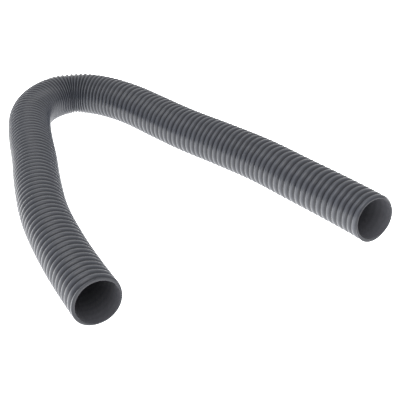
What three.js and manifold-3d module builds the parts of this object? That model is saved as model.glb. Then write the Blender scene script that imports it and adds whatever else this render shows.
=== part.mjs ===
// A flexible exhaust hose of moulded plastic, lying in a bend on a level floor.
// It is one piece: a smooth bore, and round the outside one ridge wound as a left-hand screw.
// Both ends are cut straight through the ridge, the first one square and the second a little off.
// Millimetres, +Z up. The origin is on the floor, under the middle of the hose.

import * as THREE from 'three';
import { mergeVertices } from 'three/addons/utils/BufferGeometryUtils.js';
import Module from 'manifold-3d';

// Section of the hose
const boreDiameter = 38;
const grooveWall = 1.4; // wall under the groove, the thinnest
const ridgeHeight = 1.6; // crest of the ridge above the groove
const ridgePitch = 6.6; // from one turn of the ridge to the next, where the hose is at ease
const ridgeRunOut = 55; // degrees round the first cut where the crest meets it
const secondCutLean = 3; // degrees that the second cut's face leans upwards from square
const secondCutTurn = 4; // degrees that it turns to the hose's right

// The axis on the floor, seen from above, from the first cut to the second: x, y, and the pitch
// there as a share of ridgePitch. The turns close up in the tight bend and open in the first leg.
const route = [
  [-63, -202, 1], [-70, -189, 0.98], [-94, -140, 1.05], [-120, -75, 1.1], [-135, -17, 1.04],
  [-145, 32, 0.95], [-154, 71, 0.96], [-160, 101, 0.93], [-163, 126, 0.93], [-161, 148, 0.84],
  [-154, 167, 0.76], [-143, 181, 0.67], [-129, 189, 0.64], [-113, 190, 0.67], [-94, 184, 0.76],
  [-74, 172, 0.9], [-53, 154, 1.12], [-29, 128, 1.01], [2, 95, 0.94], [39, 61, 0.91],
  [75, 26, 0.99], [107, -12, 1.05], [139, -50, 0.99], [159, -75, 0.96], [166.6, -85.4, 0.98],
];

// Facets
const sides = 16; // round the hose
const boreStep = 12; // along the bore
const stepsPerPoint = 80; // steps of the axis from one point of the route to the next
const spareTurns = 2; // turns of the ridge past each cut, which the cut takes away

const plastic = { color: 0x4c4f54, roughness: 0.5, metalness: 0 };

const boreRadius = boreDiameter / 2;
const grooveRadius = boreRadius + grooveWall;
const crestRadius = grooveRadius + ridgeHeight;
const spareLength = spareTurns * ridgePitch;
const up = new THREE.Vector3(0, 0, 1);

const axisPoints = route.map(([x, y]) => new THREE.Vector3(x, y, crestRadius));
const axis = new THREE.CatmullRomCurve3(axisPoints, false, 'centripetal');
axis.arcLengthDivisions = (route.length - 1) * stepsPerPoint;
const hoseLength = axis.getLength();

// Lengths along the axis at equal steps of the curve, and the turns of the ridge up to each
const lengths = axis.getLengths();
const turns = [0];
for (let step = 1; step < lengths.length; step += 1) {
  const along = (step - 0.5) / stepsPerPoint;
  const [before, after] = [route[Math.floor(along)][2], route[Math.ceil(along)][2]];
  const pitch = ridgePitch * THREE.MathUtils.lerp(before, after, along % 1);
  turns.push(turns[step - 1] + (lengths[step] - lengths[step - 1]) / pitch);
}
const hoseTurns = turns.at(-1);

// The distance along the axis at which the ridge has made so many turns
function distanceAt(turn) {
  if (turn <= 0) return turn * ridgePitch;
  if (turn >= hoseTurns) return hoseLength + (turn - hoseTurns) * ridgePitch;
  const step = turns.findIndex((count) => count > turn);
  const share = (turn - turns[step - 1]) / (turns[step] - turns[step - 1]);
  return THREE.MathUtils.lerp(lengths[step - 1], lengths[step], share);
}

// The axis at a distance from the first cut, going on straight past both cuts.
function axisAt(distance) {
  const inside = THREE.MathUtils.clamp(distance, 0, hoseLength);
  const forward = axis.getTangentAt(inside / hoseLength);
  const point = axis.getPointAt(inside / hoseLength).addScaledVector(forward, distance - inside);
  const left = new THREE.Vector3().crossVectors(up, forward);
  return { point, forward, left };
}

// A point of a round surface about the axis. The angle turns from the hose's left to its top.
function surfacePoint(distance, angle, radius) {
  const { point, left } = axisAt(distance);
  return point.addScaledVector(left, radius * Math.cos(angle)).addScaledVector(up, radius * Math.sin(angle));
}

// Collects shared vertices and triangles, and gives them as a geometry.
class Surface {
  positions = [];
  triangles = [];

  addPoint({ x, y, z }) {
    this.positions.push(x, y, z);
    return this.positions.length / 3 - 1;
  }

  addQuad(a, b, c, d) {
    this.triangles.push(a, b, c, a, c, d);
  }

  // Closes a loop of vertices with a fan from one point.
  addFan(centre, loop) {
    loop.forEach((vertex, i) => this.triangles.push(centre, vertex, loop[(i + 1) % loop.length]));
  }

  geometry() {
    const geometry = new THREE.BufferGeometry();
    geometry.setAttribute('position', new THREE.Float32BufferAttribute(this.positions, 3));
    geometry.setIndex(this.triangles);
    return geometry;
  }
}

// The outside: a crest line and a groove line wound side by side, joined by two flanks.
function ribbedGeometry() {
  const surface = new Surface();
  const crest = [];
  const groove = [];
  const start = ridgeRunOut / 360 - spareTurns - 1;
  const turnCount = Math.ceil(hoseTurns + spareTurns - start);
  const wind = (step, offset, radius) => {
    const distance = distanceAt(start + step / sides + offset);
    return surface.addPoint(surfacePoint(distance, (-2 * Math.PI * step) / sides, radius));
  };
  for (let step = 0; step <= turnCount * sides; step += 1) {
    crest.push(wind(step, 0, crestRadius));
    groove.push(wind(step, 0.5, grooveRadius));
  }
  for (let step = 0; step < turnCount * sides; step += 1) {
    surface.addQuad(crest[step], groove[step], groove[step + 1], crest[step + 1]);
  }
  for (let step = 0; step < (turnCount - 1) * sides; step += 1) {
    surface.addQuad(groove[step], crest[step + sides], crest[step + 1 + sides], groove[step + 1]);
  }
  const first = surface.addPoint(axisAt(distanceAt(start)).point);
  const last = surface.addPoint(axisAt(distanceAt(start + turnCount + 0.5)).point);
  surface.addFan(first, [...crest.slice(0, sides + 1), groove[0]]);
  surface.addFan(last, [crest.at(-1), ...groove.slice(-sides - 1).reverse()]);
  return surface.geometry();
}

// The bore: plain rings along the axis, longer than the outside at both ends.
function boreGeometry() {
  const surface = new Surface();
  const reach = spareLength + 2 * ridgePitch;
  const steps = Math.round((hoseLength + 2 * reach) / boreStep);
  const rings = [];
  for (let step = 0; step <= steps; step += 1) {
    const distance = -reach + ((hoseLength + 2 * reach) * step) / steps;
    const ring = [];
    for (let side = 0; side < sides; side += 1) {
      ring.push(surface.addPoint(surfacePoint(distance, (2 * Math.PI * side) / sides, boreRadius)));
    }
    rings.push(ring);
  }
  for (let step = 0; step < steps; step += 1) {
    rings[step].forEach((vertex, side) => {
      const next = (side + 1) % sides;
      surface.addQuad(vertex, rings[step][next], rings[step + 1][next], rings[step + 1][side]);
    });
  }
  surface.addFan(surface.addPoint(axisAt(-reach).point), rings[0].toReversed());
  surface.addFan(surface.addPoint(axisAt(hoseLength + reach).point), rings.at(-1));
  return surface.geometry();
}

// A block that takes away all past a cut. Outward is 1 for the second cut and -1 for the first.
// In degrees, the lean brings the cut's face up and the turn brings it to the hose's right.
function cutGeometry(distance, outward, lean, turn) {
  const width = 4 * crestRadius;
  const depth = 2 * spareLength + 4 * ridgePitch;
  const { point, forward } = axisAt(distance);
  const block = new THREE.BoxGeometry(depth, width, width);
  block.translate((outward * depth) / 2, 0, 0);
  block.rotateY(-outward * THREE.MathUtils.degToRad(lean));
  block.rotateZ(Math.atan2(forward.y, forward.x) - THREE.MathUtils.degToRad(turn));
  return block.translate(point.x, point.y, point.z);
}

const wasm = await Module();
wasm.setup();

function toSolid(geometry) {
  const bare = geometry.clone();
  bare.deleteAttribute('normal');
  bare.deleteAttribute('uv');
  const merged = mergeVertices(bare);
  return new wasm.Manifold(new wasm.Mesh({
    numProp: 3,
    vertProperties: new Float32Array(merged.attributes.position.array),
    triVerts: new Uint32Array(merged.index.array),
  }));
}

function toGeometry(solid) {
  const { vertProperties, triVerts } = solid.getMesh();
  const geometry = new THREE.BufferGeometry();
  geometry.setAttribute('position', new THREE.Float32BufferAttribute(vertProperties, 3));
  geometry.setIndex(Array.from(triVerts));
  geometry.computeVertexNormals();
  return geometry;
}

function makeHose() {
  const solid = toSolid(ribbedGeometry())
    .subtract(toSolid(cutGeometry(0, -1, 0, 0)))
    .subtract(toSolid(cutGeometry(hoseLength, 1, secondCutLean, secondCutTurn)))
    .subtract(toSolid(boreGeometry()));
  const mesh = new THREE.Mesh(toGeometry(solid), new THREE.MeshStandardMaterial(plastic));
  mesh.name = 'hose';
  return mesh;
}

const exhaustHose = new THREE.Group();
exhaustHose.add(makeHose());

export default exhaustHose;
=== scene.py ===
"""Looks of a flexible exhaust hose that lies in a bend on a pale floor.

The hose is one moulded piece: a thin wall, a nearly smooth bore, and outside it one rounded ridge
wound as a left-hand screw. Geometry Nodes wind the ridge along the hose's axis and cut both ends
straight through it. Lengths are in metres, except the route's points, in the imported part's frame.
"""

import logging
import math
from bisect import bisect_right
from dataclasses import dataclass, field
from enum import Enum

import bmesh
import bpy
from mathutils import Matrix, Vector


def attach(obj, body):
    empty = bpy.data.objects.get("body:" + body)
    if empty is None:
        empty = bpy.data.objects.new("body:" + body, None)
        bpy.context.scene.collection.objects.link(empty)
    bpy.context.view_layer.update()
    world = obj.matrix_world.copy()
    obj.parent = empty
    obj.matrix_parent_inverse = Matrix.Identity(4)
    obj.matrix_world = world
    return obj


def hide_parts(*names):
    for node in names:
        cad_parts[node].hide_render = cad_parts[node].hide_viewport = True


LOG = logging.getLogger("exhaust_hose")
MM = 0.001

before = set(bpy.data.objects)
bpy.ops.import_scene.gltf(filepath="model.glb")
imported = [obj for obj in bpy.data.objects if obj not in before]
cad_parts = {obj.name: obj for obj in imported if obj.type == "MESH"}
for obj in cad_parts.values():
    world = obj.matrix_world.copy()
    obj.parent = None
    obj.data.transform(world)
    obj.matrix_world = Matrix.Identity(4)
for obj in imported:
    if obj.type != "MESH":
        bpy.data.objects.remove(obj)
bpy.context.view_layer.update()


class Hand(Enum):
    """Which way the ridge is wound: the sign of its turn about the axis as it goes along."""

    LEFT = -1
    RIGHT = 1


class Mixed(Enum):
    """What a Mix node mixes: the places of its first value's input and of its result."""

    VECTOR = (4, 1)
    RGBA = (6, 2)


class TreeMaker:
    """Adds nodes to one geometry or shader tree and links them."""

    def __init__(self, tree: bpy.types.NodeTree) -> None:
        """Keep the tree that the nodes go into.

        Args:
            tree: The node tree to fill.
        """
        self.tree = tree

    def node(self, kind: str, settings: dict | None = None, **inputs) -> bpy.types.Node:
        """Add one node.

        Args:
            kind: The node's Blender type name.
            settings: Properties of the node to set before its inputs.
            **inputs: Values or sockets by input name, with spaces as underscores.

        Returns:
            The new node.
        """
        node = self.tree.nodes.new(kind)
        for name, value in (settings or {}).items():
            setattr(node, name, value)
        for name, value in inputs.items():
            self.feed(node.inputs[name.replace("_", " ")], value)
        return node

    def feed(self, socket: bpy.types.NodeSocket, value: object) -> None:
        """Link a socket to an input, or set the input's own value.

        Args:
            socket: The input socket.
            value: An output socket, or a constant.
        """
        if isinstance(value, bpy.types.NodeSocket):
            self.tree.links.new(value, socket)
        else:
            socket.default_value = value

    def math(self, operation: str, *values: object) -> bpy.types.NodeSocket:
        """Add a Math node.

        Args:
            operation: The node's operation.
            *values: Its inputs in order, as numbers or sockets.

        Returns:
            The result's socket.
        """
        node = self.node("ShaderNodeMath", {"operation": operation})
        for socket, value in zip(node.inputs, values):
            self.feed(socket, value)
        return node.outputs[0]

    def vector(self, operation: str, *values: object) -> bpy.types.NodeSocket:
        """Add a Vector Math node whose result is a vector.

        Args:
            operation: The node's operation.
            *values: Its vector inputs in order. For SCALE, a vector and a number.

        Returns:
            The result's socket.
        """
        node = self.node("ShaderNodeVectorMath", {"operation": operation})
        sockets = (node.inputs[0], node.inputs["Scale"]) if operation == "SCALE" else node.inputs
        for socket, value in zip(sockets, values):
            self.feed(socket, value)
        return node.outputs["Vector"]

    def mix(
        self, kind: Mixed, factor: object, first: object, second: object
    ) -> bpy.types.NodeSocket:
        """Add a Mix node.

        Args:
            kind: What it mixes.
            factor: The second value's share, as a number or socket.
            first: The value at 0.
            second: The value at 1.

        Returns:
            The result's socket.
        """
        node = self.node("ShaderNodeMix", {"data_type": kind.name})
        value_place, result_place = kind.value
        self.feed(node.inputs[0], factor)
        self.feed(node.inputs[value_place], first)
        self.feed(node.inputs[value_place + 1], second)
        return node.outputs[result_place]

    def attribute(self, name: str) -> bpy.types.NodeSocket:
        """Read a number that the mesh's points carry, by its name."""
        return self.node("ShaderNodeAttribute", {"attribute_name": name}).outputs["Fac"]

    def spread(self, value: object, low: float, high: float) -> bpy.types.NodeSocket:
        """Turn a value from 0 to 1 into one from low to high."""
        return self.node("ShaderNodeMapRange", Value=value, To_Min=low, To_Max=high).outputs[0]


@dataclass
class HoseAxis:
    """The hose's axis on the floor, and how the ridge's turns are spread along it.

    Attributes:
        height: Height of the axis over the floor.
        ridge_pitch: Distance from one turn of the ridge to the next, where the hose is at ease.
        route: Points of the axis as x and y in millimetres and the pitch's share there.
        steps_per_point: Steps of the smooth curve between two points.
    """

    height: float
    ridge_pitch: float
    route: tuple[tuple[float, float, float], ...] = (
        (-63, -202, 1), (-70, -189, 0.98), (-94, -140, 1.05), (-120, -75, 1.1), (-135, -17, 1.04),
        (-145, 32, 0.95), (-154, 71, 0.96), (-160, 101, 0.93), (-163, 126, 0.93),
        (-161, 148, 0.84), (-154, 167, 0.76), (-143, 181, 0.67), (-129, 189, 0.64),
        (-113, 190, 0.67), (-94, 184, 0.76), (-74, 172, 0.9), (-53, 154, 1.12), (-29, 128, 1.01),
        (2, 95, 0.94), (39, 61, 0.91), (75, 26, 0.99), (107, -12, 1.05), (139, -50, 0.99),
        (159, -75, 0.96), (166.6, -85.4, 0.98),
    )
    steps_per_point: int = 80
    line: list[Vector] = field(init=False)
    lengths: list[float] = field(init=False)
    turns: list[float] = field(init=False)

    def __post_init__(self) -> None:
        """Work out the smooth line, its lengths and the ridge's turns up to each step."""
        knots = [Vector((x * MM, y * MM, self.height)) for x, y, _ in self.route]
        before = [2 * knots[0] - knots[1], *knots]
        after = [*knots, 2 * knots[-1] - knots[-2]]
        self.line, shares = [], []
        for k in range(len(knots) - 1):
            corners = (before[k], knots[k], knots[k + 1], after[k + 2])
            for step in range(self.steps_per_point):
                self.line.append(self.between(*corners, step / self.steps_per_point))
                mid = (step + 0.5) / self.steps_per_point
                shares.append((1 - mid) * self.route[k][2] + mid * self.route[k + 1][2])
        self.line.append(knots[-1])
        self.lengths, self.turns = [0.0], [0.0]
        for a, b, share in zip(self.line, self.line[1:], shares):
            self.lengths.append(self.lengths[-1] + (b - a).length)
            self.turns.append(self.turns[-1] + (b - a).length / (self.ridge_pitch * share))

    @staticmethod
    def between(p0: Vector, p1: Vector, p2: Vector, p3: Vector, share: float) -> Vector:
        """Give a point of the centripetal Catmull-Rom curve from p1 to p2.

        Args:
            p0: The point before the stretch.
            p1: The point where the stretch starts.
            p2: The point where it ends.
            p3: The point after it.
            share: How far along the stretch, from 0 to 1.

        Returns:
            The point of the curve.
        """
        d0, d1, d2 = (math.sqrt((b - a).length) for a, b in ((p0, p1), (p1, p2), (p2, p3)))
        start = ((p1 - p0) / d0 - (p2 - p0) / (d0 + d1) + (p2 - p1) / d1) * d1
        end = ((p2 - p1) / d1 - (p3 - p1) / (d1 + d2) + (p3 - p2) / d2) * d1
        square, cube = share**2, share**3
        return (
            p1 * (2 * cube - 3 * square + 1)
            + start * (cube - 2 * square + share)
            + p2 * (3 * square - 2 * cube)
            + end * (cube - square)
        )

    @property
    def length(self) -> float:
        """Give the hose's length along its axis."""
        return self.lengths[-1]

    @property
    def turn_count(self) -> float:
        """Give how many turns the ridge makes from cut to cut."""
        return self.turns[-1]

    @property
    def last_pitch(self) -> float:
        """Give the ridge's pitch at the second cut."""
        return self.ridge_pitch * self.route[-1][2]

    def at_turn(self, turn: float) -> Vector:
        """Give the axis's point where the ridge has made so many turns.

        Args:
            turn: The number of turns from the first cut.

        Returns:
            The point.
        """
        step = min(max(bisect_right(self.turns, turn), 1), len(self.turns) - 1)
        share = (turn - self.turns[step - 1]) / (self.turns[step] - self.turns[step - 1])
        return self.line[step - 1] + (self.line[step] - self.line[step - 1]) * share

    def make_rail(self, points_per_turn: int) -> bpy.types.Object:
        """Make the line that the ridge is wound on, with its points at equal shares of a turn.

        Args:
            points_per_turn: Points of the line for each turn of the ridge.

        Returns:
            A curve object of one open line, which goes on straight past the second cut.
        """
        curve = bpy.data.curves.new("hose_rail", "CURVE")
        curve.dimensions = "3D"
        spline = curve.splines.new("POLY")
        spline.points.add(math.ceil((self.turn_count + 1) * points_per_turn))
        for i, point in enumerate(spline.points):
            point.co = (*self.at_turn(i / points_per_turn), 1)
        rail = bpy.data.objects.new("hose_rail", curve)
        bpy.context.collection.objects.link(rail)
        return rail


@dataclass(frozen=True)
class RibbedPlastic:
    """The hose's moulded plastic, dark slate grey and half matt.

    Attributes:
        base: Colour of the flanks.
        crest: Colour of the ridge's crest, paler as painted light on the crest.
        groove: Colour down in the groove, darker as painted shade.
        bore: Colour of the bore's smooth skin.
        roughness: Roughness of the clean plastic outside.
        bore_roughness: Roughness of the bore.
        groove_gloss: Strength of the gloss down in the groove, weaker where dust lies and as
            painted shade of the reflections there.
        crest_gloss: Strength of the gloss on the crest.
        flank_height: Share of the ridge's height at which the flanks have their own colour.
        cloud_scale: Scale of the soft clouds in the colour and the roughness.
        cloud_detail: Their detail.
        cloud_fineness: Share of its strength that each finer layer of the clouds keeps.
        cloud_shades: Brightness of the colour in the darkest and the palest cloud.
        cloud_roughness: What the clouds add to the roughness, least and most.
        grain_scale: Scale of the fine grain of the skin.
        grain_detail: Its detail.
        grain_strength: Strength of its bump.
        grain_depth: Depth of its bump.
    """

    base: tuple[float, float, float, float] = (0.029, 0.032, 0.042, 1)
    # Painted light makes the crest paler, and painted shade makes the groove darker, than the
    # flanks.
    crest: tuple[float, float, float, float] = (0.048, 0.052, 0.064, 1)
    groove: tuple[float, float, float, float] = (0.018, 0.0195, 0.025, 1)
    bore: tuple[float, float, float, float] = (0.085, 0.086, 0.097, 1)
    roughness: float = 0.28
    bore_roughness: float = 0.45
    groove_gloss: float = 0.3
    crest_gloss: float = 0.68
    flank_height: float = 0.55
    cloud_scale: float = 22
    cloud_detail: float = 3
    cloud_fineness: float = 0.6
    cloud_shades: tuple[float, float] = (0.86, 1.14)
    cloud_roughness: tuple[float, float] = (-0.05, 0.07)
    grain_scale: float = 1400
    grain_detail: float = 2
    grain_strength: float = 0.12
    grain_depth: float = 0.2 * MM

    def make(self) -> bpy.types.Material:
        """Build the material.

        Returns:
            The material.
        """
        material = bpy.data.materials.new("ribbed_plastic")
        material.use_nodes = True
        maker = TreeMaker(material.node_tree)
        shader = material.node_tree.nodes["Principled BSDF"]
        height, inside = maker.attribute("ridge_height"), maker.attribute("bore_share")
        place = maker.node("ShaderNodeTexCoord").outputs["Object"]
        cloud = maker.node(
            "ShaderNodeTexNoise", Vector=place, Scale=self.cloud_scale, Detail=self.cloud_detail,
            Roughness=self.cloud_fineness,
        ).outputs["Fac"]
        shade = maker.spread(cloud, *self.cloud_shades)
        skin = maker.mix(Mixed.RGBA, inside, self.ridge_colour_with_painted_shade_and_light(maker, height), self.bore)
        colour = maker.node("ShaderNodeHueSaturation", Value=shade, Color=skin)
        maker.feed(shader.inputs["Base Color"], colour.outputs["Color"])
        # Less gloss in the groove stands for dust and is also painted shade on the reflections.
        gloss = maker.spread(height, self.groove_gloss, self.crest_gloss)
        maker.feed(shader.inputs["Specular IOR Level"], gloss)
        clean = maker.spread(inside, self.roughness, self.bore_roughness)
        uneven = maker.spread(cloud, *self.cloud_roughness)
        maker.feed(shader.inputs["Roughness"], maker.math("ADD", clean, uneven))
        grain = maker.node(
            "ShaderNodeTexNoise", Vector=place, Scale=self.grain_scale, Detail=self.grain_detail
        ).outputs["Fac"]
        bump = maker.node(
            "ShaderNodeBump", Height=grain, Strength=self.grain_strength, Distance=self.grain_depth
        )
        maker.feed(shader.inputs["Normal"], bump.outputs["Normal"])
        return material

    def ridge_colour_with_painted_shade_and_light(
        self, maker: TreeMaker, height: bpy.types.NodeSocket
    ) -> bpy.types.NodeSocket:
        """Add the colour of the outside, from the groove over the flanks to the crest, with painted
        shade darkening the groove and painted light paling the crest.

        Args:
            maker: Adds nodes to the material's tree.
            height: The ridge's height, from 0 in the groove to 1 on the crest.

        Returns:
            The colour.
        """
        ramp = maker.node("ShaderNodeValToRGB", Fac=height)
        stops = ramp.color_ramp.elements
        # The groove's dark colour is painted shade and the crest's pale colour is painted light;
        # the flanks keep the plastic's own colour.
        stops[0].color, stops[1].color = self.groove, self.crest
        stops.new(self.flank_height).color = self.base
        return ramp.outputs["Color"]


@dataclass(frozen=True)
class PaleFloor:
    """The plain pale floor, lit from below as a studio table is.

    Attributes:
        colour: Colour of the floor.
        roughness: Roughness of the floor.
        gloss: Strength of its gloss.
        glow_colour: Colour of the light that the table gives.
        glow: Strength of that light.
    """

    colour: tuple[float, float, float, float] = (0.9, 0.9, 0.9, 1)
    roughness: float = 0.8
    gloss: float = 0.1
    glow_colour: tuple[float, float, float, float] = (1, 1, 1, 1)
    glow: float = 2.1

    def make(self) -> bpy.types.Material:
        """Build the material.

        Returns:
            The material.
        """
        material = bpy.data.materials.new("pale_floor")
        material.use_nodes = True
        shader = material.node_tree.nodes["Principled BSDF"]
        shader.inputs["Base Color"].default_value = self.colour
        shader.inputs["Roughness"].default_value = self.roughness
        shader.inputs["Specular IOR Level"].default_value = self.gloss
        shader.inputs["Emission Color"].default_value = self.glow_colour
        shader.inputs["Emission Strength"].default_value = self.glow
        return material


@dataclass
class RidgedHose:
    """The hose itself.

    Attributes:
        bore_diameter: Clear diameter of the bore.
        groove_wall: Wall under the groove.
        ridge_height: Height of the ridge's crest over the groove.
        ridge_pitch: Distance from one turn of the ridge to the next.
        run_out: Share of a turn round the first cut where the crest meets it.
        second_lean: Degrees that the second cut's face leans upwards from square.
        second_turn: Degrees that it turns to the hose's right.
        hand: Which way the ridge is wound.
        bore_ripple: How far the bore follows the ridge outwards.
        lip: How far the cut edge is rounded proud.
        sides: Facets round the hose.
        outside_rows: Rows of facets for each turn, outside.
        bore_rows: Rows of facets for each turn, in the bore.
        lip_rows: Rows of facets across the cut edge.
        rail_points: Points of the rail for each turn.
        ridge_share: Share of the pitch that the ridge takes; the groove between is flat.
        ridge_fullness: Power that rounds the ridge: higher has a flatter crest.
        weld_gap: Points of the walls closer than this are one point.
        sliver: Edges shorter than this are closed up.
    """

    bore_diameter: float = 38 * MM
    groove_wall: float = 1.4 * MM
    ridge_height: float = 1.6 * MM
    ridge_pitch: float = 6.6 * MM
    run_out: float = 55 / 360
    second_lean: float = 3
    second_turn: float = 4
    hand: Hand = Hand.LEFT
    bore_ripple: float = 0.06 * MM
    lip: float = 0.3 * MM
    sides: int = 48
    outside_rows: int = 10
    bore_rows: int = 4
    lip_rows: int = 6
    rail_points: int = 8
    ridge_share: float = 0.72
    ridge_fullness: float = 2.4
    weld_gap: float = 0.004 * MM
    sliver: float = 0.001 * MM

    @property
    def bore_radius(self) -> float:
        """Give the bore's radius."""
        return self.bore_diameter / 2

    @property
    def crest_radius(self) -> float:
        """Give the radius of the ridge's crest, which the hose lies on."""
        return self.bore_radius + self.groove_wall + self.ridge_height

    def build_axis(self) -> HoseAxis:
        """Give the axis that the hose follows.

        Returns:
            The axis.
        """
        return HoseAxis(height=self.crest_radius, ridge_pitch=self.ridge_pitch)

    def make_tree(self) -> bpy.types.NodeTree:
        """Build the Geometry Nodes tree that turns the rail into the hose's walls.

        Returns:
            The tree, with one named input for each size.
        """
        tree = bpy.data.node_groups.new("ridged_hose", "GeometryNodeTree")
        tree.interface.new_socket("Geometry", in_out="INPUT", socket_type="NodeSocketGeometry")
        for name, kind in self.sockets().items():
            tree.interface.new_socket(name, in_out="INPUT", socket_type=kind)
        tree.interface.new_socket("Geometry", in_out="OUTPUT", socket_type="NodeSocketGeometry")
        maker = TreeMaker(tree)
        source = maker.node("NodeGroupInput")
        walls = HoseWalls(maker, source.outputs, self.hand)
        sheets = [walls.outside(), walls.bore(), walls.lip(first=True), walls.lip(first=False)]
        joined = maker.node("GeometryNodeJoinGeometry")
        for sheet in sheets:
            tree.links.new(sheet, joined.inputs[0])
        merged = maker.node(
            "GeometryNodeMergeByDistance", Geometry=joined.outputs[0], Distance=self.weld_gap
        )
        smooth = maker.node("GeometryNodeSetShadeSmooth", Geometry=merged.outputs[0])
        real = maker.node("GeometryNodeRealizeInstances", Geometry=smooth.outputs[0])
        dressed = maker.node("GeometryNodeSetMaterial", Geometry=real.outputs[0])
        tree.links.new(source.outputs["Plastic"], dressed.inputs["Material"])
        target = maker.node("NodeGroupOutput")
        tree.links.new(dressed.outputs[0], target.inputs[0])
        return tree

    @staticmethod
    def sockets() -> dict[str, str]:
        """Give the tree's named inputs and their socket types.

        Returns:
            The socket types by input name.
        """
        lengths = ("Bore Radius", "Groove Radius", "Crest Radius", "Bore Ripple", "Lip")
        counts = ("Sides", "Outside Rows", "Bore Rows", "Lip Rows")
        cuts = ("Run Out", "Second Pitch", "Second Lean", "Second Turn")
        plain = ("Turns", "Rail Points", "Ridge Share", "Fullness")
        kinds = {name: "NodeSocketFloat" for name in lengths + cuts + plain}
        kinds.update({name: "NodeSocketInt" for name in counts})
        kinds["Plastic"] = "NodeSocketMaterial"
        return kinds

    def values(self, axis: HoseAxis, plastic: bpy.types.Material) -> dict[str, object]:
        """Give the value of each named input.

        Args:
            axis: The hose's axis.
            plastic: The hose's material.

        Returns:
            The values by input name.
        """
        return {
            "Bore Radius": self.bore_radius,
            "Groove Radius": self.bore_radius + self.groove_wall,
            "Crest Radius": self.crest_radius,
            "Bore Ripple": self.bore_ripple,
            "Lip": self.lip,
            "Sides": self.sides,
            "Outside Rows": self.outside_rows,
            "Bore Rows": self.bore_rows,
            "Lip Rows": self.lip_rows,
            "Turns": axis.turn_count,
            "Rail Points": float(self.rail_points),
            "Run Out": self.run_out,
            "Second Pitch": axis.last_pitch,
            "Second Lean": math.tan(math.radians(self.second_lean)),
            "Second Turn": math.tan(math.radians(self.second_turn)),
            "Ridge Share": self.ridge_share,
            "Fullness": self.ridge_fullness,
            "Plastic": plastic,
        }

    def make(self) -> bpy.types.Object:
        """Build the hose, dress it, hang it on the root body and hide the imported hose part.

        Returns:
            The finished hose.
        """
        axis = self.build_axis()
        rail = axis.make_rail(self.rail_points)
        plastic = RibbedPlastic().make()
        tree = self.make_tree()
        modifier = rail.modifiers.new("ridged_hose", "NODES")
        modifier.node_group = tree
        values = self.values(axis, plastic)
        for item in tree.interface.items_tree:
            if item.in_out == "INPUT" and item.name in values:
                modifier[item.identifier] = values[item.name]
        graph = bpy.context.evaluated_depsgraph_get()
        graph.update()
        mesh = bpy.data.meshes.new_from_object(rail.evaluated_get(graph))
        bpy.data.objects.remove(rail)
        self.close_up(mesh)
        hose = bpy.data.objects.new("ribbed_hose", mesh)
        bpy.context.collection.objects.link(hose)
        self.declare(hose)
        return hose

    def close_up(self, mesh: bpy.types.Mesh) -> None:
        """Turn all faces outwards and drop what the merge left loose.

        Args:
            mesh: The hose's mesh.
        """
        shell = bmesh.new()
        shell.from_mesh(mesh)
        bmesh.ops.dissolve_degenerate(shell, dist=self.sliver, edges=shell.edges)
        loose = [vertex for vertex in shell.verts if not vertex.link_faces]
        bmesh.ops.delete(shell, geom=loose, context="VERTS")
        bmesh.ops.recalc_face_normals(shell, faces=shell.faces)
        open_edges = sum(1 for edge in shell.edges if len(edge.link_faces) != 2)
        LOG.info("hose shell: %d faces, %d open edges", len(shell.faces), open_edges)
        shell.to_mesh(mesh)
        shell.free()

    def declare(self, hose: bpy.types.Object) -> None:
        """Hang the hose on the root body and hide the imported hose part that it stands in for.

        Args:
            hose: The finished hose.
        """
        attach(hose, "root")
        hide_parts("hose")
        2 * self.crest_radius


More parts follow.
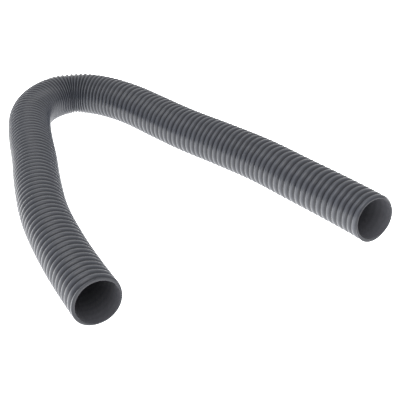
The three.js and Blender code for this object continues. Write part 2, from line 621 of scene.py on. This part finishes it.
class HoseWalls:
    """Builds the sheets of the hose's walls inside its Geometry Nodes tree.

    Attributes:
        SPARE_TURNS: Turns of each wall past both cuts, which the cuts press flat.
    """

    SPARE_TURNS = 2

    def __init__(self, maker: TreeMaker, sizes: bpy.types.NodeOutputs, hand: Hand) -> None:
        """Keep the tree's maker and its named inputs.

        Args:
            maker: Adds nodes to the hose's tree.
            sizes: The outputs of the tree's Group Input.
            hand: Which way the ridge is wound.
        """
        self.maker = maker
        self.sizes = sizes
        self.hand = hand

    def grid(self, rows: object) -> tuple[bpy.types.NodeSocket, ...]:
        """Add a flat grid, one row of facets round the hose for each of its rows.

        Args:
            rows: Number of rows, as a number or socket.

        Returns:
            The grid's mesh, each point's share along the rows, and its share round the hose.
        """
        maker = self.maker
        columns = maker.math("ADD", self.sizes["Sides"], 1)
        grid = maker.node(
            "GeometryNodeMeshGrid", Size_X=1.0, Size_Y=1.0, Vertices_X=rows, Vertices_Y=columns
        )
        spot = maker.node("GeometryNodeInputPosition").outputs[0]
        place = maker.node("ShaderNodeSeparateXYZ", Vector=spot)
        along = maker.math("ADD", place.outputs["X"], 0.5)
        around = maker.math("ADD", place.outputs["Y"], 0.5)
        return grid.outputs["Mesh"], along, around

    def rail_value(
        self, field_socket: bpy.types.NodeSocket, turn: bpy.types.NodeSocket
    ) -> bpy.types.NodeSocket:
        """Read a value of the rail at a turn of the ridge, smoothly between its points.

        Args:
            field_socket: The value on the rail's points, a vector.
            turn: The turn, already between the two cuts.

        Returns:
            The value there.
        """
        maker = self.maker
        index = maker.math("MULTIPLY", turn, self.sizes["Rail Points"])
        low = maker.math("FLOOR", index)
        samples = []
        for spot in (low, maker.math("ADD", low, 1)):
            sample = maker.node(
                "GeometryNodeSampleIndex",
                {"data_type": "FLOAT_VECTOR", "domain": "POINT", "clamp": True},
                Geometry=self.sizes["Geometry"],
                Value=field_socket,
                Index=spot,
            )
            samples.append(sample.outputs["Value"])
        return maker.mix(Mixed.VECTOR, maker.math("SUBTRACT", index, low), *samples)

    def ridge_height(
        self, turn: bpy.types.NodeSocket, around: bpy.types.NodeSocket
    ) -> bpy.types.NodeSocket:
        """Give the ridge's height, from 0 in the groove to 1 on the crest.

        Args:
            turn: The turn of the ridge at the point.
            around: The point's share round the hose, from its left towards its top.

        Returns:
            The height.
        """
        maker = self.maker
        wound = maker.math("MULTIPLY", around, -self.hand.value)
        from_crest = maker.math("SUBTRACT", maker.math("ADD", turn, wound), self.first_turn())
        folded = maker.math("PINGPONG", from_crest, 0.5)
        share = maker.math("DIVIDE", maker.math("MULTIPLY", folded, 2), self.sizes["Ridge Share"])
        power = maker.math("POWER", share, self.sizes["Fullness"])
        return maker.math("MAXIMUM", maker.math("SUBTRACT", 1, power), 0)

    def first_turn(self) -> bpy.types.NodeSocket:
        """Give the turn at the hose's left at which the crest runs out through the first cut."""
        return self.maker.math("MULTIPLY", self.sizes["Run Out"], -self.hand.value)

    def outside_radius(self, height: bpy.types.NodeSocket) -> bpy.types.NodeSocket:
        """Give the outside's radius for a height of the ridge.

        Args:
            height: The ridge's height, from 0 in the groove to 1 on the crest.

        Returns:
            The radius.
        """
        maker = self.maker
        rise = maker.math("SUBTRACT", self.sizes["Crest Radius"], self.sizes["Groove Radius"])
        return maker.math("MULTIPLY_ADD", rise, height, self.sizes["Groove Radius"])

    def bore_radius(self, height: bpy.types.NodeSocket) -> bpy.types.NodeSocket:
        """Give the bore's radius for a height of the ridge."""
        ripple, radius = self.sizes["Bore Ripple"], self.sizes["Bore Radius"]
        return self.maker.math("MULTIPLY_ADD", ripple, height, radius)

    def placed(
        self,
        mesh: bpy.types.NodeSocket,
        turn: bpy.types.NodeSocket,
        around: bpy.types.NodeSocket,
        radius: bpy.types.NodeSocket,
        height: object,
        bore_share: float,
        proud: bpy.types.NodeSocket | None = None,
    ) -> bpy.types.NodeSocket:
        """Put the points of a grid on the hose.

        Args:
            mesh: The grid.
            turn: Each point's turn along the hose.
            around: Each point's share round the hose.
            radius: Each point's distance from the axis.
            height: The ridge's height there, kept for the material: 0 for the dull cut edge, which
                so also gets the groove's darker colour of painted shade.
            bore_share: 1 in the bore and 0 elsewhere, kept likewise.
            proud: How far each point stands out along the axis, if at all.

        Returns:
            The sheet.
        """
        maker = self.maker
        centre = self.rail_value(maker.node("GeometryNodeInputPosition").outputs[0], turn)
        forward = self.rail_value(maker.node("GeometryNodeInputTangent").outputs[0], turn)
        forward = maker.vector("NORMALIZE", forward)
        left = maker.vector("CROSS_PRODUCT", (0, 0, 1), forward)
        angle = maker.math("MULTIPLY", around, math.tau)
        leftwards = maker.math("MULTIPLY", radius, maker.math("COSINE", angle))
        upwards = maker.math("MULTIPLY", radius, maker.math("SINE", angle))
        sideways = maker.vector("SCALE", left, leftwards)
        rise = maker.node("ShaderNodeCombineXYZ", Z=upwards).outputs[0]
        spot = maker.vector("ADD", maker.vector("ADD", centre, sideways), rise)
        if proud is not None:
            spot = maker.vector("ADD", spot, maker.vector("SCALE", forward, proud))
        for name, value in (("ridge_height", height), ("bore_share", bore_share)):
            mesh = maker.node(
                "GeometryNodeStoreNamedAttribute", {"data_type": "FLOAT", "domain": "POINT"},
                Geometry=mesh, Name=name, Value=value,
            ).outputs[0]
        return maker.node("GeometryNodeSetPosition", Geometry=mesh, Position=spot).outputs[0]

    def second_cut(
        self, around: bpy.types.NodeSocket, radius: bpy.types.NodeSocket
    ) -> bpy.types.NodeSocket:
        """Give the turn of the ridge at which the second cut, which isn't square, meets a wall.

        Args:
            around: The share round the hose, from its left towards its top.
            radius: The wall's distance from the axis.

        Returns:
            The turn.
        """
        maker = self.maker
        angle = maker.math("MULTIPLY", around, math.tau)
        lean = maker.math("MULTIPLY", maker.math("SINE", angle), self.sizes["Second Lean"])
        turned = maker.math("MULTIPLY", maker.math("COSINE", angle), self.sizes["Second Turn"])
        ahead = maker.math("MULTIPLY", maker.math("SUBTRACT", turned, lean), radius)
        ahead = maker.math("DIVIDE", ahead, self.sizes["Second Pitch"])
        return maker.math("ADD", self.sizes["Turns"], ahead)

    def wound(
        self, rows_per_turn: bpy.types.NodeSocket, radius: bpy.types.NodeSocket
    ) -> tuple[bpy.types.NodeSocket, ...]:
        """Add a grid whose rows run along the ridge, up to both cuts.

        Args:
            rows_per_turn: Rows of facets for each turn.
            radius: The wall's distance from the axis.

        Returns:
            The grid's mesh, each point's turn, and its share round the hose.
        """
        maker = self.maker
        turns = maker.math("ADD", maker.math("CEIL", self.sizes["Turns"]), 2 * self.SPARE_TURNS)
        rows = maker.math("ADD", maker.math("MULTIPLY", turns, rows_per_turn), 1)
        mesh, along, around = self.grid(rows)
        start = maker.math("SUBTRACT", self.first_turn(), self.SPARE_TURNS)
        level = maker.math("MULTIPLY_ADD", along, turns, start)
        turn = maker.math("MULTIPLY_ADD", around, self.hand.value, level)
        cut = maker.math("MINIMUM", maker.math("MAXIMUM", turn, 0), self.second_cut(around, radius))
        return mesh, cut, around

    def outside(self) -> bpy.types.NodeSocket:
        """Add the outside with its ridge.

        Returns:
            The sheet.
        """
        mesh, turn, around = self.wound(self.sizes["Outside Rows"], self.sizes["Crest Radius"])
        height = self.ridge_height(turn, around)
        return self.placed(mesh, turn, around, self.outside_radius(height), height, 0.0)

    def bore(self) -> bpy.types.NodeSocket:
        """Add the bore's wall.

        Returns:
            The sheet.
        """
        mesh, turn, around = self.wound(self.sizes["Bore Rows"], self.sizes["Bore Radius"])
        height = self.ridge_height(turn, around)
        return self.placed(mesh, turn, around, self.bore_radius(height), height, 1.0)

    def lip(self, first: bool) -> bpy.types.NodeSocket:
        """Add the rounded cut edge between the outside and the bore.

        Args:
            first: Whether it is the first cut's edge or the second's.

        Returns:
            The sheet.
        """
        maker = self.maker
        mesh, across, around = self.grid(self.sizes["Lip Rows"])
        half_turn = maker.math("MULTIPLY", across, math.pi)
        share = maker.math("MULTIPLY_ADD", maker.math("COSINE", half_turn), -0.5, 0.5)
        reach = maker.math("SUBTRACT", self.sizes["Bore Radius"], self.sizes["Crest Radius"])
        level = maker.math("MULTIPLY_ADD", share, reach, self.sizes["Crest Radius"])
        turn = maker.math("MULTIPLY", self.second_cut(around, level), 0 if first else 1)
        height = self.ridge_height(turn, around)
        outer, inner = self.outside_radius(height), self.bore_radius(height)
        wall = maker.math("SUBTRACT", inner, outer)
        radius = maker.math("MULTIPLY_ADD", share, wall, outer)
        bulge = maker.math("MULTIPLY", maker.math("SINE", half_turn), self.sizes["Lip"])
        proud = maker.math("MULTIPLY", bulge, -1 if first else 1)
        # Height 0 gives the cut edge the groove's darker colour, which is painted shade.
        return self.placed(mesh, turn, around, radius, 0.0, 0.0, proud)


@dataclass(frozen=True)
class SoftLight:
    """One soft square light.

    Attributes:
        name: Its name.
        place: Where it hangs.
        aim: The point it faces.
        width: Its width.
        power: Its power in watts.
    """

    name: str
    place: tuple[float, float, float]
    aim: tuple[float, float, float]
    width: float
    power: float

    def make(self) -> bpy.types.Object:
        """Build the light.

        Returns:
            The light.
        """
        lamp = bpy.data.lights.new(self.name, "AREA")
        lamp.shape = "SQUARE"
        lamp.size = self.width
        lamp.energy = self.power
        light = bpy.data.objects.new(self.name, lamp)
        bpy.context.collection.objects.link(light)
        light.location = self.place
        facing = Vector(self.aim) - Vector(self.place)
        light.rotation_euler = facing.to_track_quat("-Z", "Y").to_euler()
        return light


@dataclass
class Studio:
    """The camera, the floor and the soft lights.

    Attributes:
        camera_place: Where the camera stands.
        camera_down: How far it looks down from level, in degrees.
        camera_roll: Its roll, in degrees.
        focal_pixels: Focal length in pixels of the photograph.
        photo_width: Width of the photograph in pixels.
        sensor_width: Width of the camera's sensor in millimetres.
        floor_width: Width of the floor.
        key_light: The light over the camera.
        fill_light: The weaker light behind the hose.
        surround: Colour of the light from all round.
        surround_strength: Strength of that light.
    """

    camera_place: Vector = field(default_factory=lambda: Vector((0.01549, -0.78812, 0.45301)))
    camera_down: float = 30.26
    camera_roll: float = -0.64
    focal_pixels: float = 951
    photo_width: float = 400
    sensor_width: float = 36
    floor_width: float = 12
    key_light: SoftLight = SoftLight("key_light", (-0.2, -1.2, 1.9), (0, -0.1, 0), 1.4, 13)
    fill_light: SoftLight = SoftLight("fill_light", (0, 1.2, 1.6), (0, 0, 0), 1.6, 4)
    surround: tuple[float, float, float, float] = (1, 1, 1, 1)
    surround_strength: float = 1

    def make_camera(self) -> bpy.types.Object:
        """Build the camera at the photograph's viewing angle.

        Returns:
            The camera.
        """
        lens = bpy.data.cameras.new("camera")
        lens.sensor_width = self.sensor_width
        lens.lens = self.sensor_width * self.focal_pixels / self.photo_width
        camera = bpy.data.objects.new("camera", lens)
        bpy.context.collection.objects.link(camera)
        tilt = Matrix.Rotation(math.radians(90 - self.camera_down), 4, "X")
        roll = Matrix.Rotation(math.radians(self.camera_roll), 4, "Z")
        camera.matrix_world = Matrix.Translation(self.camera_place) @ tilt @ roll
        bpy.context.scene.camera = camera
        return camera

    def make_floor(self) -> bpy.types.Object:
        """Build the plain floor under the hose.

        Returns:
            The floor.
        """
        half = self.floor_width / 2
        corners = [(-half, -half, 0), (half, -half, 0), (half, half, 0), (-half, half, 0)]
        mesh = bpy.data.meshes.new("floor")
        mesh.from_pydata(corners, [], [(0, 1, 2, 3)])
        mesh.materials.append(PaleFloor().make())
        floor = bpy.data.objects.new("floor", mesh)
        bpy.context.collection.objects.link(floor)
        return floor

    def make_lights(self) -> None:
        """Build the lights and the white surround, and show white as plain white."""
        self.key_light.make()
        self.fill_light.make()
        world = bpy.data.worlds.new("surround")
        world.use_nodes = True
        backdrop = world.node_tree.nodes["Background"]
        backdrop.inputs["Color"].default_value = self.surround
        backdrop.inputs["Strength"].default_value = self.surround_strength
        bpy.context.scene.world = world
        bpy.context.scene.view_settings.view_transform = "Standard"


def main() -> None:
    """Build the camera, the hose and the studio, and report each."""
    logging.basicConfig(level=logging.INFO, format="%(name)s: %(message)s")
    studio = Studio()
    studio.make_camera()
    LOG.info("camera looks down %.1f degrees", studio.camera_down)
    hose = RidgedHose().make()
    LOG.info("%s has %d faces", hose.name, len(hose.data.polygons))
    studio.make_floor()
    studio.make_lights()
    LOG.info("floor and lights are in place")


if __name__ == "__main__":
    main()
